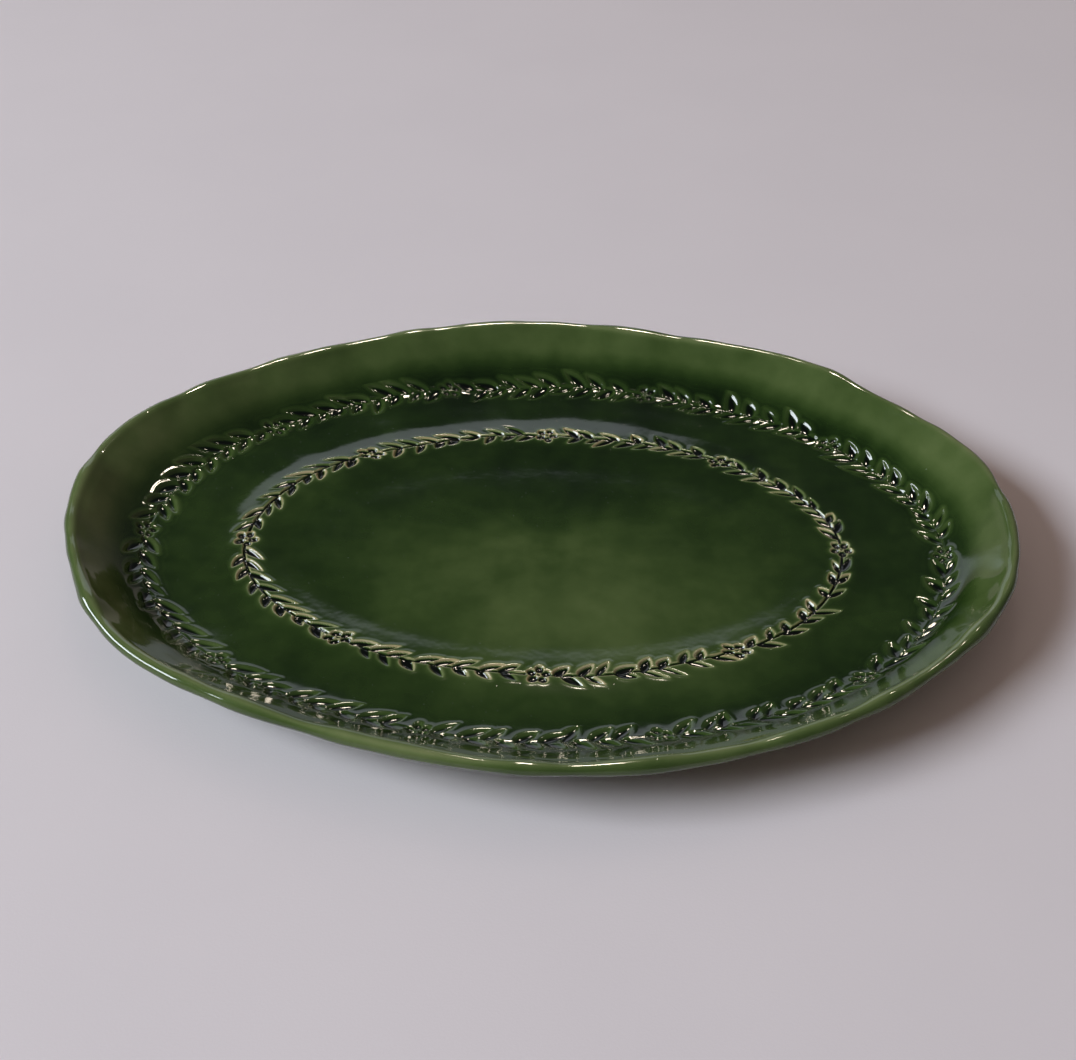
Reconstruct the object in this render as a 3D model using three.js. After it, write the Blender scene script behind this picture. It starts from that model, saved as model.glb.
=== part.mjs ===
// Oval earthenware serving platter: a press-moulded clay slab with a sloping wall and a round hand-made
// lip, swollen along its inner wreath, a luted foot ring, and three separate coats of fired green glaze.
// Millimetres, +Z up, X along the platter. The origin is on the table, at the middle of the platter's box.

import * as THREE from 'three';

// ---------- driving dimensions ----------

const LENGTH = 400;              // over the glazed lip
const WIDTH = 291;
const FOOT_HEIGHT = 3.5;
const FLOOR_THICKNESS = 6.5;     // clay under the serving floor
const SLAB_THICKNESS = 5;        // clay of the wall, measured square to it
const LIP_RADIUS = 2.5;
const RIM_RISE = 19;             // from the clay floor to the centre of the lip's round

const WALL_SLOPE = 0.93;         // tangent of the slope that the wall tends to
const WALL_FOOT_INSET = 26;      // where the wall's line would meet the floor, in from the rim
const WALL_FOOT_BLEND = 6;       // softness of that corner

const FACE_GLAZE = 0.5;
const OUTSIDE_GLAZE = 0.4;
const LIP_GLAZE = 0.25;          // the glaze runs thin on the lip
const COAT_GAP = 0.3;            // bare line on the lip's crest, between the two coats

const INNER_WREATH = { a: 128, b: 79.5 };    // middle lines of the two wreaths
const OUTER_WREATH = { a: 171.5, b: 116.8 };
const WREATH_HALF_WIDTH = 6.5;
const SWELL_HEIGHT = 0.55;       // clay pushed up along the inner wreath when it was stamped
const SWELL_CROWN = 4;           // half width of the swell's crown
const SWELL_INNER_FOOT = 18;     // where the swell starts, on the well's side and on the wall's side
const SWELL_OUTER_FOOT = 12;
const WELL_SINK = 0.4;           // the well lies this much lower than the floor outside the inner wreath
const OUTER_FLOOR = 19;          // a ring on the plain floor between the wreaths
const WELL_MIDDLE_INSET = 50;    // a ring part way in across the well

const FOOT_INSET = 52;           // from the rim to the foot ring's outer edge
const FOOT_TOP_WIDTH = 8;
const FOOT_TREAD_WIDTH = 5;      // the flat that rests on the table
const FOOT_BEVEL = 0.8;
const FOOT_CLEAR = 1.5;          // glaze wiped back from the foot ring
const UNDERSIDE_FLAT_INSET = 46; // the underside is flat inside this line
const STATIONS = 72;             // points round each oval

// The hand-made rim wanders from a true oval: how far out and how far up it stands, every 18 degrees
// anticlockwise from the +X end.
const RIM_WANDER = [
  [-1, 0], [0.7, 0], [-2.4, 0], [0.8, 1], [-1.3, 0.2],
  [0.7, 0.8], [-0.4, 0], [-1.3, -1], [0.3, 0], [4.2, 0.5],
  [2.3, 0], [0.6, 0], [3.7, 0], [0.2, 0.2], [-0.4, 0],
  [3.3, 0.3], [1.3, -1.5], [0.2, 0], [-2.2, 0], [-1.2, -0.5],
];

const RIM_A = LENGTH / 2 - OUTSIDE_GLAZE;
const RIM_B = WIDTH / 2 - OUTSIDE_GLAZE;
const CLAY_FLOOR = FOOT_HEIGHT + FLOOR_THICKNESS;
const LIP_CENTRE = { inset: LIP_RADIUS, z: CLAY_FLOOR + RIM_RISE };

// ---------- the oval rings that every surface is made of ----------

// A periodic Catmull-Rom curve through one column of RIM_WANDER.
function wander(turn, column) {
  const count = RIM_WANDER.length;
  const place = turn * count;
  const first = Math.floor(place);
  const f = place - first;
  const at = (step) => RIM_WANDER[(first + step + count) % count][column];
  const [p0, p1, p2, p3] = [at(-1), at(0), at(1), at(2)];
  const slope1 = (p2 - p0) / 2;
  const slope2 = (p3 - p1) / 2;
  const square = 3 * (p2 - p1) - 2 * slope1 - slope2;
  const cube = 2 * (p1 - p2) + slope1 + slope2;
  return p1 + f * (slope1 + f * (square + f * cube));
}

// A ring is an oval with its height above the table. Its sway is how much of the rim's wander it follows.
function ring(a, b, z, sway) {
  return { a, b, z, sway };
}

// The wander fades from the lip to nothing at the outer wreath.
function swayAt(inset) {
  return Math.max(0, 1 - inset / WALL_FOOT_INSET) ** 0.8;
}

function insetRing(inset, z) {
  return ring(RIM_A - inset, RIM_B - inset, z, swayAt(Math.max(0, inset)));
}

// All rings share the same stations, on straight lines out from the middle.
function ringPoint(oval, station) {
  const turn = (station % STATIONS) / STATIONS;
  const t = turn * 2 * Math.PI;
  const angle = Math.atan2(RIM_B * Math.sin(t), RIM_A * Math.cos(t));
  const radius = (oval.a * oval.b) / Math.hypot(oval.b * Math.cos(angle), oval.a * Math.sin(angle));
  const reach = radius + oval.sway * wander(turn, 0);
  return [reach * Math.cos(angle), reach * Math.sin(angle), oval.z + oval.sway * wander(turn, 1)];
}

// The same ring moved along its section's normal, which leans out by lean.out and up by lean.up.
function lift(oval, lean, distance) {
  const out = lean.out * distance;
  const up = lean.up * distance;
  return ring(oval.a + out, oval.b + out, oval.z + up, oval.sway);
}

// ---------- the section of the clay ----------

// Height of the serving face above the floor's lowest level, and its slope, from the soft corner's formula.
function faceRise(inset) {
  const u = WALL_FOOT_INSET - inset;
  return (WALL_SLOPE * (u + Math.hypot(u, WALL_FOOT_BLEND))) / 2;
}

function faceSlope(inset) {
  const u = WALL_FOOT_INSET - inset;
  return (WALL_SLOPE * (1 + u / Math.hypot(u, WALL_FOOT_BLEND))) / 2;
}

function faceNormal(inset) {
  const slope = faceSlope(inset);
  const size = Math.hypot(slope, 1);
  return { out: -slope / size, up: 1 / size };
}

// A knot of the section: a ring on the clay, the way its surface faces, and the glaze's thickness there.
function faceKnot(inset) {
  const oval = insetRing(inset, CLAY_FLOOR + faceRise(inset));
  return { oval, lean: faceNormal(inset), glaze: FACE_GLAZE };
}

// A knot a given distance outside a wreath's middle line, raised above the plain face.
function wreathKnot({ a, b }, outward, raised = 0) {
  const inset = (RIM_A - a + RIM_B - b) / 2 - outward;
  const oval = ring(a + outward, b + outward, CLAY_FLOOR + faceRise(inset) + raised, swayAt(inset));
  return { oval, lean: faceNormal(inset), glaze: FACE_GLAZE };
}

// A knot on the lip's round, at an angle from straight up, positive outwards.
function lipKnot(degrees, glaze) {
  const angle = THREE.MathUtils.degToRad(degrees);
  const lean = { out: Math.sin(angle), up: Math.cos(angle) };
  const centre = insetRing(LIP_CENTRE.inset, LIP_CENTRE.z);
  const oval = { ...lift(centre, lean, LIP_RADIUS), sway: 1 };
  return { oval, lean, glaze };
}

function undersideKnot(inset) {
  const face = faceKnot(inset);
  const lean = { out: -face.lean.out, up: -face.lean.up };
  return { oval: lift(face.oval, lean, SLAB_THICKNESS), lean, glaze: OUTSIDE_GLAZE };
}

const STRAIGHT_DOWN = { out: 0, up: -1 };

function flatUnderKnot(inset) {
  return { oval: insetRing(inset, FOOT_HEIGHT), lean: STRAIGHT_DOWN, glaze: OUTSIDE_GLAZE };
}

const halfGapDegrees = THREE.MathUtils.radToDeg(COAT_GAP / 2 / LIP_RADIUS);

// From the middle of the well out to the lip's crest.
const faceKnots = [
  wreathKnot(INNER_WREATH, -WELL_MIDDLE_INSET, -WELL_SINK),
  wreathKnot(INNER_WREATH, -SWELL_INNER_FOOT, -WELL_SINK),
  wreathKnot(INNER_WREATH, -SWELL_CROWN, SWELL_HEIGHT),
  wreathKnot(INNER_WREATH, SWELL_CROWN, SWELL_HEIGHT),
  wreathKnot(INNER_WREATH, SWELL_OUTER_FOOT),
  wreathKnot(INNER_WREATH, OUTER_FLOOR),
  wreathKnot(OUTER_WREATH, -WREATH_HALF_WIDTH),
  wreathKnot(OUTER_WREATH, 0),
  wreathKnot(OUTER_WREATH, WREATH_HALF_WIDTH),
  faceKnot(14),
  faceKnot(8),
  lipKnot(-32, FACE_GLAZE * 0.8),
  lipKnot(-halfGapDegrees, LIP_GLAZE),
];

// From the crest over the lip's outside, then down and in under the wall to the flat underside.
const outsideKnots = [
  lipKnot(halfGapDegrees, LIP_GLAZE),
  lipKnot(45, OUTSIDE_GLAZE),
  lipKnot(90, OUTSIDE_GLAZE),
  lipKnot(140, OUTSIDE_GLAZE),
  undersideKnot(13),
  undersideKnot(22),
  undersideKnot(31),
  flatUnderKnot(UNDERSIDE_FLAT_INSET),
  flatUnderKnot(FOOT_INSET - FOOT_CLEAR),
];

const baseKnot = flatUnderKnot(FOOT_INSET + FOOT_TOP_WIDTH + FOOT_CLEAR);

// ---------- closed bodies from rings ----------

// The diagonal of every four-sided patch runs the same way whichever side of a surface is being built, so
// two pieces that share a surface fit together exactly.
function outerFirst(first, second) {
  return first.a > second.a || (first.a === second.a && first.z > second.z);
}

// Joins ring to ring. With caps it starts and ends at a point on the axis. Without them the last ring joins
// the first.
function bodyFromRings(rings, capped) {
  const stations = Array.from({ length: STATIONS }, (_, station) => station);
  const positions = rings.flatMap((oval) => stations.flatMap((station) => ringPoint(oval, station)));
  const index = [];
  const at = (r, s) => r * STATIONS + (s % STATIONS);
  const pairs = capped ? rings.length - 1 : rings.length;
  for (let r = 0; r < pairs; r++) {
    const next = (r + 1) % rings.length;
    const leading = outerFirst(rings[r], rings[next]);
    for (let s = 0; s < STATIONS; s++) {
      const [p, q, u, v] = [at(r, s), at(r, s + 1), at(next, s), at(next, s + 1)];
      if (leading) index.push(p, u, v, p, v, q);
      else index.push(p, u, q, q, u, v);
    }
  }
  if (capped) {
    const last = rings.length - 1;
    const start = positions.length / 3;
    positions.push(0, 0, rings[0].z, 0, 0, rings[last].z);
    for (let s = 0; s < STATIONS; s++) {
      index.push(start, at(0, s), at(0, s + 1));
      index.push(start + 1, at(last, s + 1), at(last, s));
    }
  }
  const geometry = new THREE.BufferGeometry();
  geometry.setAttribute('position', new THREE.Float32BufferAttribute(positions, 3));
  geometry.setIndex(index);
  geometry.computeVertexNormals();
  return geometry;
}

function piece(name, geometry, material) {
  const mesh = new THREE.Mesh(geometry, material);
  mesh.name = name;
  return mesh;
}

const clayRing = (knot) => knot.oval;
const glazeRing = (knot) => lift(knot.oval, knot.lean, knot.glaze);

// ---------- the pieces ----------

function clayBody() {
  const rings = [...faceKnots, ...outsideKnots].map(clayRing);
  return piece('clay_body', bodyFromRings(rings, true), clayMaterial());
}

function footRing() {
  const taper = (FOOT_TOP_WIDTH - FOOT_TREAD_WIDTH) / 2;
  const outer = FOOT_INSET;
  const inner = FOOT_INSET + FOOT_TOP_WIDTH;
  const rings = [
    insetRing(inner, FOOT_HEIGHT),
    insetRing(outer, FOOT_HEIGHT),
    insetRing(outer + taper - FOOT_BEVEL / 2, FOOT_BEVEL),
    insetRing(outer + taper, 0),
    insetRing(inner - taper, 0),
    insetRing(inner - taper + FOOT_BEVEL / 2, FOOT_BEVEL),
  ];
  return piece('foot_ring', bodyFromRings(rings, false), footMaterial());
}

// The coat on the serving face: out over the glaze's surface, then back along the clay.
function glazeFace() {
  const surface = faceKnots.map(glazeRing);
  const clay = faceKnots.map(clayRing).reverse();
  return piece('glaze_face', bodyFromRings([...surface, ...clay], true), glazeMaterial(0x2f4a1f));
}

// The coat on the lip's outside and the underside, as far in as the foot ring.
function glazeOutside() {
  const surface = outsideKnots.map(glazeRing);
  const clay = outsideKnots.map(clayRing).reverse();
  return piece('glaze_outside', bodyFromRings([...surface, ...clay], false), glazeMaterial(0x3c5828));
}

// The thin coat inside the foot ring.
function glazeBase() {
  const rings = [clayRing(baseKnot), glazeRing(baseKnot)];
  return piece('glaze_base', bodyFromRings(rings, true), glazeMaterial(0x35512a));
}

function clayMaterial() {
  return new THREE.MeshStandardMaterial({ color: 0xd2c2a0, roughness: 0.85, metalness: 0 });
}

function footMaterial() {
  return new THREE.MeshStandardMaterial({ color: 0xc4b08a, roughness: 0.9, metalness: 0 });
}

function glazeMaterial(color) {
  return new THREE.MeshStandardMaterial({ color, roughness: 0.12, metalness: 0 });
}

const platter = new THREE.Group();
platter.add(clayBody(), footRing(), glazeFace(), glazeOutside(), glazeBase());

// The wandering rim moves the middle of the box a little, so the platter is moved back over the origin.
const middle = new THREE.Box3().setFromObject(platter).getCenter(new THREE.Vector3());
for (const mesh of platter.children) mesh.position.set(-middle.x, -middle.y, 0);

export default platter;
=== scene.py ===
# The looks of an oval green-glazed serving platter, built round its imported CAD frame.
# The clay body's own vertices give the smooth surface. The stamped wreaths, the glaze that pools in them
# and breaks over their edges, and the hand-made ripple of the face are worked into dense meshes here.

import math

import bpy
import numpy as np
from mathutils import Matrix, Vector


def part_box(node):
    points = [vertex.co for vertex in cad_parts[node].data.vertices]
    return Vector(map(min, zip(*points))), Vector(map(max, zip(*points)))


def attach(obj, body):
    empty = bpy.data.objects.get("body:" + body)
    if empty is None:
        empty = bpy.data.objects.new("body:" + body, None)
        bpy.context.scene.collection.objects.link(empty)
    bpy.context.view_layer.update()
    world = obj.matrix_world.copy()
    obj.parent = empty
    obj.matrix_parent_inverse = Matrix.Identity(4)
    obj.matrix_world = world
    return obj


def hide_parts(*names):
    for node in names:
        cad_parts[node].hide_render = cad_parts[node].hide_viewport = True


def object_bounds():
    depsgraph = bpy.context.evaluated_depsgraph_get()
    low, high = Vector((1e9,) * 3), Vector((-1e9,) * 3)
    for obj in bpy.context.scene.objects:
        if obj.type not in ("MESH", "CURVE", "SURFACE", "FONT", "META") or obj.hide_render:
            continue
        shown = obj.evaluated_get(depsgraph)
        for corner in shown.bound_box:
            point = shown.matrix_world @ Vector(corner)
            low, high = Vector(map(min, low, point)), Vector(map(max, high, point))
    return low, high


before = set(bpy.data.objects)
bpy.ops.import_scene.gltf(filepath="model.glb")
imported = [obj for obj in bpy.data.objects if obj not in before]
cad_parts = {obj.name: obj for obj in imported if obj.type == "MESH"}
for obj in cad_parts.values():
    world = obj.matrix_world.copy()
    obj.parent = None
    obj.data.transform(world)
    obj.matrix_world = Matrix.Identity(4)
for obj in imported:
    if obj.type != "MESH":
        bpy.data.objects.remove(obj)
cad_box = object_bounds()

MM = 0.001
rng = np.random.default_rng(7)

# ---------- the section's knots, in the order that the clay body's rings run ----------

FACE_KNOTS = [
    "well_middle", "inner_swell_foot", "inner_swell_crown", "outer_swell_crown", "outer_swell_foot",
    "outer_floor", "wreath_inside", "wreath_middle", "wreath_outside", "wall_low", "wall_high",
    "lip_inside", "crest",
]
OUTSIDE_KNOTS = [
    "crest_outer", "lip_shoulder", "lip_side", "lip_under", "under_high", "under_middle", "under_low",
    "flat_edge", "foot_margin",
]
KNOTS = ["pole"] + FACE_KNOTS + OUTSIDE_KNOTS
STATIONS = 72     # points round each ring of the frame
SMOOTHEST = 22    # harmonics kept when a ring is made smooth
POLE_REACH = 0.5  # vertices this near the oval's middle are its poles

# ---------- glaze, in millimetres of thickness ----------

FACE_GLAZE = 0.5         # over the clay, everywhere on the face
OUTSIDE_GLAZE = 0.4
LIP_GLAZE = 0.28
LIP_THINNED = 3.0        # the glaze is thinner this far from the crest
FOOT_TAPER = 0.6         # it tapers away over this much at the foot
WREATH_BED = 2.2         # how far the clay lies below the face under a wreath
BED_SLOPE = 0.35         # the share of the half band over which that bed falls
CLAY_CLEAR = 0.04        # the clay lies this far under the glaze's back
WELL_TINT = 0.31         # optical thickness that sets the colour, where the well is palest
WELL_PALEST = (24, -40)  # that place, from the oval's middle
WELL_PALE_REACH = (150, 115)  # how far the paler glaze reaches along and across the platter
FLOOR_TINT = 0.68        # the rest of the floor
LEFT_TINT, ENDS_TINT = -0.045, -0.10  # what the floor's left half and both its ends add to that
POOL_TINT, POOL_WIDTH = 0.14, 9  # what has run down to the foot of the wall
WALL_TINT = 0.35         # the glaze has run off the sloping wall
WALL_TINT_BEFORE = 3     # it starts this far before the wreath's outer edge
WALL_TINT_BEYOND = 4     # and is full this far beyond the wall's foot
WALL_LEFT_PAINTED_LIGHT = -0.07   # painted light: what the wall's left end adds to that, paler glaze standing in for light that falls there
PAINTED_LIGHT_LEFT_START = 0.5     # minus the cosine of the oval angle where the left end, and its painted light, begins
LIP_TINT, LIP_BAND = 0.24, 1.5  # the lip, and half the width of its pale band
LIP_WANDERS = [(3, 0.9, 0.7), (7, 0.5, 2.1)]  # the band's wander: turns, how far and phase
OUTSIDE_TINT, OUTSIDE_TINT_START = 0.38, 2.5  # the outside, full this far beyond the crest
BREAK_TINT = 0.06        # where it breaks over a stamped edge
DEEPEST_TINT = 1.4

# ---------- resolution ----------

ROUND_FINE = 1600   # stations round a wreath
ROUND_COARSE = 800
COARSE = ROUND_FINE // ROUND_COARSE
FINE_ANGLES = 7201  # steps that measure a ring's length
WELL_START = 3.0    # the well's first ring, from the middle
WELL_THINNING = [(14, 16), (28, 8), (56, 4), (math.inf, 2)]  # fewer stations round the smaller rings
BACK_EVERY = 6      # rows on a glaze band's front to each row on its back
CLAY_THINNING = 4   # fine stations to each one of the clay's
WELL_STEP, FLOOR_STEP, WALL_STEP = 2.0, 1.2, 1.1  # between the glaze's rows
LIP_STEP, UNDER_STEP = 0.5, 1.5
INNER_WREATH_STEP, OUTER_WREATH_STEP = 0.4, 0.45
CLAY_STEP, CLAY_LIP_STEP = 2.5, 1.0  # between the clay's rows


# ---------- the smooth surface ----------

def packed_points(node):
    """A CAD node's different vertex places, in millimetres."""
    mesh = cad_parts[node].data
    co = np.zeros(len(mesh.vertices) * 3)
    mesh.vertices.foreach_get("co", co)
    return np.unique(np.round(co.reshape(-1, 3) / MM, 3), axis=0)


def by_station(points, middle):
    """The points in order of angle round the middle: an array (station, member, xyz)."""
    flat = points[:, :2] - middle
    angle = np.arctan2(flat[:, 1], flat[:, 0])
    order = np.argsort(np.where(angle < -1e-3, angle + 2 * math.pi, angle), kind="stable")
    return points[order].reshape(STATIONS, -1, 3)


def harmonics_of(rings):
    """Rings, an array (ring, station, xyz), as the few harmonics that make them smooth."""
    return np.fft.rfft(rings, axis=1)[:, :SMOOTHEST + 1] / STATIONS


def clay_harmonics():
    """The clay body's rings from the pole over the face and back in underneath, and the oval's middle."""
    co = packed_points("clay_body")
    share = upward_share(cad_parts["clay_body"].data)
    middle = co[np.hypot(co[:, 0], co[:, 1]).argmin(), :2]
    at_pole = np.hypot(*(co[:, :2] - middle).T) < POLE_REACH
    pole = co[at_pole]
    stations = by_station(co[~at_pole], middle)
    rings = np.zeros((stations.shape[1], STATIONS, 3))
    for number, members in enumerate(stations):
        ordered = sorted(members, key=lambda point: section_place(point, middle, share[tuple(point)] > 0))
        rings[:, number] = ordered
    top = np.broadcast_to(pole[pole[:, 2].argmax()], (1, STATIONS, 3))
    return harmonics_of(np.concatenate([top, rings])), middle


def section_place(point, middle, is_upper):
    """Sorts the upper points outward, then the under points inward."""
    reach = math.hypot(*(point[:2] - middle))
    return (0, reach) if is_upper else (1, -reach)


def foot_harmonics():
    """The foot ring's rings from its inner top edge down under the tread and up to its outer top edge."""
    stations = by_station(packed_points("foot_ring"), OVAL_MIDDLE)
    reach = np.hypot(*(stations[:, :, :2] - OVAL_MIDDLE).transpose(2, 0, 1))
    ordered = np.take_along_axis(stations, np.argsort(reach, axis=1)[:, :, None], axis=1)
    return harmonics_of(ordered.transpose(1, 0, 2))


def upward_share(mesh):
    """Summed z of the face normals at each vertex place: above 0 on the upper side."""
    share = {}
    for face in mesh.polygons:
        for v in face.vertices:
            place = tuple(np.round(np.array(mesh.vertices[v].co) / MM, 3))
            share[place] = share.get(place, 0.0) + face.normal.z * face.area
    return share


HARMONICS, OVAL_MIDDLE = clay_harmonics()
assert len(HARMONICS) == len(KNOTS)


def with_knot(harmonics, name, before, share):
    """The rings with one more knot, whose name joins KNOTS. It lies on the frame's straight facet up to the
    knot before which it goes, so that the spline keeps to the facet."""
    k = KNOTS.index(before)
    between = harmonics[k - 1] * (1 - share) + harmonics[k] * share
    KNOTS.insert(k, name)
    return np.insert(harmonics, k, between, axis=0)


HARMONICS = with_knot(HARMONICS, "well_edge", "inner_swell_foot", 0.6)
HARMONICS = with_knot(HARMONICS, "wall_top", "lip_inside", 0.6)


def rings_of(harmonics, t):
    """The rings' points at the oval angles t: (ring, t, xyz)."""
    turns = np.exp(1j * np.outer(np.arange(SMOOTHEST + 1), t))
    weight = np.where(np.arange(SMOOTHEST + 1) == 0, 1.0, 2.0)
    return np.einsum("khc,h,ht->ktc", harmonics, weight, turns).real


def section_lengths():
    """Each knot's distance along the section from the pole, averaged round the platter."""
    rings = rings_of(HARMONICS, np.linspace(0, 2 * math.pi, STATIONS, endpoint=False))
    steps = np.linalg.norm(np.diff(rings, axis=0), axis=2).mean(1)
    return np.concatenate([[0.0], np.cumsum(steps)])


def spline_weights(knots, s):
    """Natural cubic spline through the knots as a matrix (s, knot)."""
    n = len(knots)
    h = np.diff(knots)
    system = np.eye(n)
    second = np.zeros((n, n))
    for i in range(1, n - 1):
        system[i, i - 1:i + 2] = [h[i - 1], 2 * (h[i - 1] + h[i]), h[i]]
        second[i, i - 1:i + 2] = [6 / h[i - 1], -6 / h[i - 1] - 6 / h[i], 6 / h[i]]
    bend = np.linalg.solve(system, second)
    cell = np.clip(np.searchsorted(knots, s, side="right") - 1, 0, n - 2)
    left, right = knots[cell], knots[cell + 1]
    width = right - left
    a, b = (right - s) / width, (s - left) / width
    weights = np.zeros((len(s), n))
    rows = np.arange(len(s))
    weights[rows, cell] = a
    weights[rows, cell + 1] = b
    cubic_a = ((a ** 3 - a) * width ** 2 / 6)[:, None] * bend[cell]
    cubic_b = ((b ** 3 - b) * width ** 2 / 6)[:, None] * bend[cell + 1]
    return weights + cubic_a + cubic_b


ALL_LENGTHS = section_lengths()
CREST_PAIR = KNOTS.index("crest_outer")  # the crest's two knots are one knot of the spline
SPLINE_KNOTS = [k for k in range(len(KNOTS)) if k != CREST_PAIR]
LENGTHS = ALL_LENGTHS[SPLINE_KNOTS]


def along(name):
    """Section length of a knot, in millimetres from the pole."""
    return ALL_LENGTHS[KNOTS.index(name)]


def evaluate(s, t):
    """Clay surface points (s, t, xyz) in millimetres."""
    return np.einsum("sk,ktc->stc", spline_weights(LENGTHS, s), rings_of(HARMONICS, t)[SPLINE_KNOTS])


def grid_normals(points):
    """Unit normals of a closed-round grid (s, t, xyz), pointing out of the clay."""
    around = np.roll(points, -1, axis=1) - np.roll(points, 1, axis=1)
    outward = np.gradient(points, axis=0)
    normal = np.cross(outward, around)
    return normal / np.maximum(np.linalg.norm(normal, axis=2, keepdims=True), 1e-12)


def even_angles(count):
    """Oval angles spaced evenly along the outer wreath, so that every ring shares the same stations."""
    fine = np.linspace(0, 2 * math.pi, FINE_ANGLES)
    ring = rings_of(HARMONICS, fine)[KNOTS.index("wreath_middle")]
    length = np.concatenate([[0], np.cumsum(np.linalg.norm(np.diff(ring, axis=0), axis=1))])
    return np.interp(np.linspace(0, length[-1], count, endpoint=False), length, fine)


ANGLES = even_angles(ROUND_FINE)


# ---------- the stamped wreaths ----------

class Wreath:
    """One wreath's stamps, in coordinates u along its middle line and v out across it, in millimetres."""

    def __init__(self, middle, band, sprigs, leaf, leaves, shallowest, depth, stem, edge, burr, halo,
                 pool, breaks, runs):
        self.middle, self.band = middle, band  # band is the half width that the stamps touch
        self.sprigs = sprigs
        self.leaf_length, self.leaf_width = leaf
        self.leaves = leaves  # to a sprig, on its inner and its outer side
        self.shallowest = shallowest  # leaf on each side, as a share of the depth
        self.depth, self.burr = depth, burr
        self.edge = edge  # width of the fall inside a stamp's outline
        self.stem = stem  # the stem's depth
        self.halo = halo  # the glaze is thin this far outside a stamp
        self.pool, self.breaks, self.runs = pool, breaks, runs


INNER_MIDDLE = (along("inner_swell_crown") + along("outer_swell_crown")) / 2
OUTER_MIDDLE = along("wreath_middle")
INNER_WREATH = Wreath(INNER_MIDDLE, band=9, sprigs=8, leaf=(9.2, 4.3), leaves=(8, 7),
                      shallowest=(0.7, 0.4), depth=1.6, stem=1.3, edge=0.65, burr=0.07, halo=0.6,
                      pool=0.9, breaks=1.0, runs=0)
OUTER_WREATH = Wreath(OUTER_MIDDLE, band=10.5, sprigs=10, leaf=(11.5, 5.8), leaves=(8, 8),
                      shallowest=(0.7, 0.7), depth=1.3, stem=0.7, edge=1.5, burr=0.12, halo=1.0,
                      pool=0.6, breaks=0.45, runs=0.07)

FLOWER_REACH = 6.5          # along the stem, from a flower's middle to about where the leaves start
PETALS = 5
PETAL_RADIUS = 2.0
PETAL_OFFSET = 3.1
PETAL_SLIMNESS = 0.85       # a petal's width, as a share of its length
PETAL_DEPTH_SHARE = 0.95    # of the wreath's depth
HEART_RADIUS, HEART_DEPTH_SHARE = 0.9, 0.6  # the dot in a flower's middle
STEM_HALF_WIDTH = 0.75
STEM_SWING = 0.7            # from side to side within one sprig
STEM_BEFORE, STEM_BEYOND = 2.5, 1.5  # how far it runs past its leaves' stretch
LEAF_LEAN = math.radians(41)  # from the stem; the tips lean anticlockwise seen from above
LEAF_START = -1.0           # a leaf's outline begins this far behind its place
LEAF_FULLEST = 2.44         # makes the outline full width at its widest
LEAF_BASE_POWER, LEAF_TIP_POWER = 0.5, 0.85
LEAF_SIDE = 0.9             # straight distance to its slanting side, as a share of that across
LEAF_CURL = 0.5             # how far its tip bends
LEAF_OFF_STEM = 0.2
LEAF_FIRST = 0.15           # the first leaf's place, in gaps between leaves
LEAF_SHIFTS = (-0.1, 0.25)  # what the inner and the outer side add to that
EDGE_SHARES = {"leaf": 1.0, "petal": 0.75, "stem": 0.5}  # a petal's and a stem's sides are steeper
SPAN_MARGINS = {"leaf": (6, 5), "petal": (7, 7), "stem": (5, 5)}  # felt this far past its ends

# how much stamps set by hand differ
FLOWER_STRAY = 0.03  # along the wreath, as a share of the pitch
SPRIG_STRAY = 0.45   # across it
LEAF_STRAY = 0.2     # along the stem, in gaps between leaves
LEAN_SPREAD = 0.13
LEAF_LENGTHS, LEAF_WIDTHS, PETAL_STRETCHES = (0.8, 1.15), (0.75, 1.1), (0.85, 1.1)
DEEPEST_LEAF = 1.1   # of the wreath's depth

SIDE_CURVE = 1.4          # how roundly a stamp's side falls
HALO_FAINT, HALO_FADE = 0.3, 3.0  # the halo's faint outer part: its share, and how much wider it is
BURR_PLACE, BURR_WIDTH = 0.7, 0.9
FARTHEST = 9.0            # the distance that stands where no stamp is felt
THIN_ENDS = (0.35, 0.85)  # how full a stamp is where the thin glaze ends
POOL_FILLS = (0.4, 1.0)   # and where the pool begins and is deepest
RUN_APART, RUN_FADE = 2.3, 2.6  # rings that the glaze left as it ran round the stamps
RUN_STARTS = (0.6, 1.5)


def middle_line(wreath, t):
    """Length along the wreath's middle line at each oval angle, and the whole length."""
    line = evaluate(np.array([wreath.middle]), np.append(t, t[0]))[0]
    length = np.concatenate([[0.0], np.cumsum(np.linalg.norm(np.diff(line, axis=0), axis=1))])
    return length[:-1], length[-1]


def leaf_distance(p, q, length, width):
    """Signed distance, negative inside, to a leaf with a blunt base and a pointed tip at p = length."""
    x = np.clip((p - LEAF_START) / (length - LEAF_START), 0, 1)
    half = width / 2 * LEAF_FULLEST * x ** LEAF_BASE_POWER * (1 - x) ** LEAF_TIP_POWER
    beyond = np.maximum(LEAF_START - p, p - length)
    side = (np.abs(q) - half) * LEAF_SIDE
    return np.where(beyond > 0, np.hypot(beyond, np.maximum(side, 0)), side)


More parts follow.
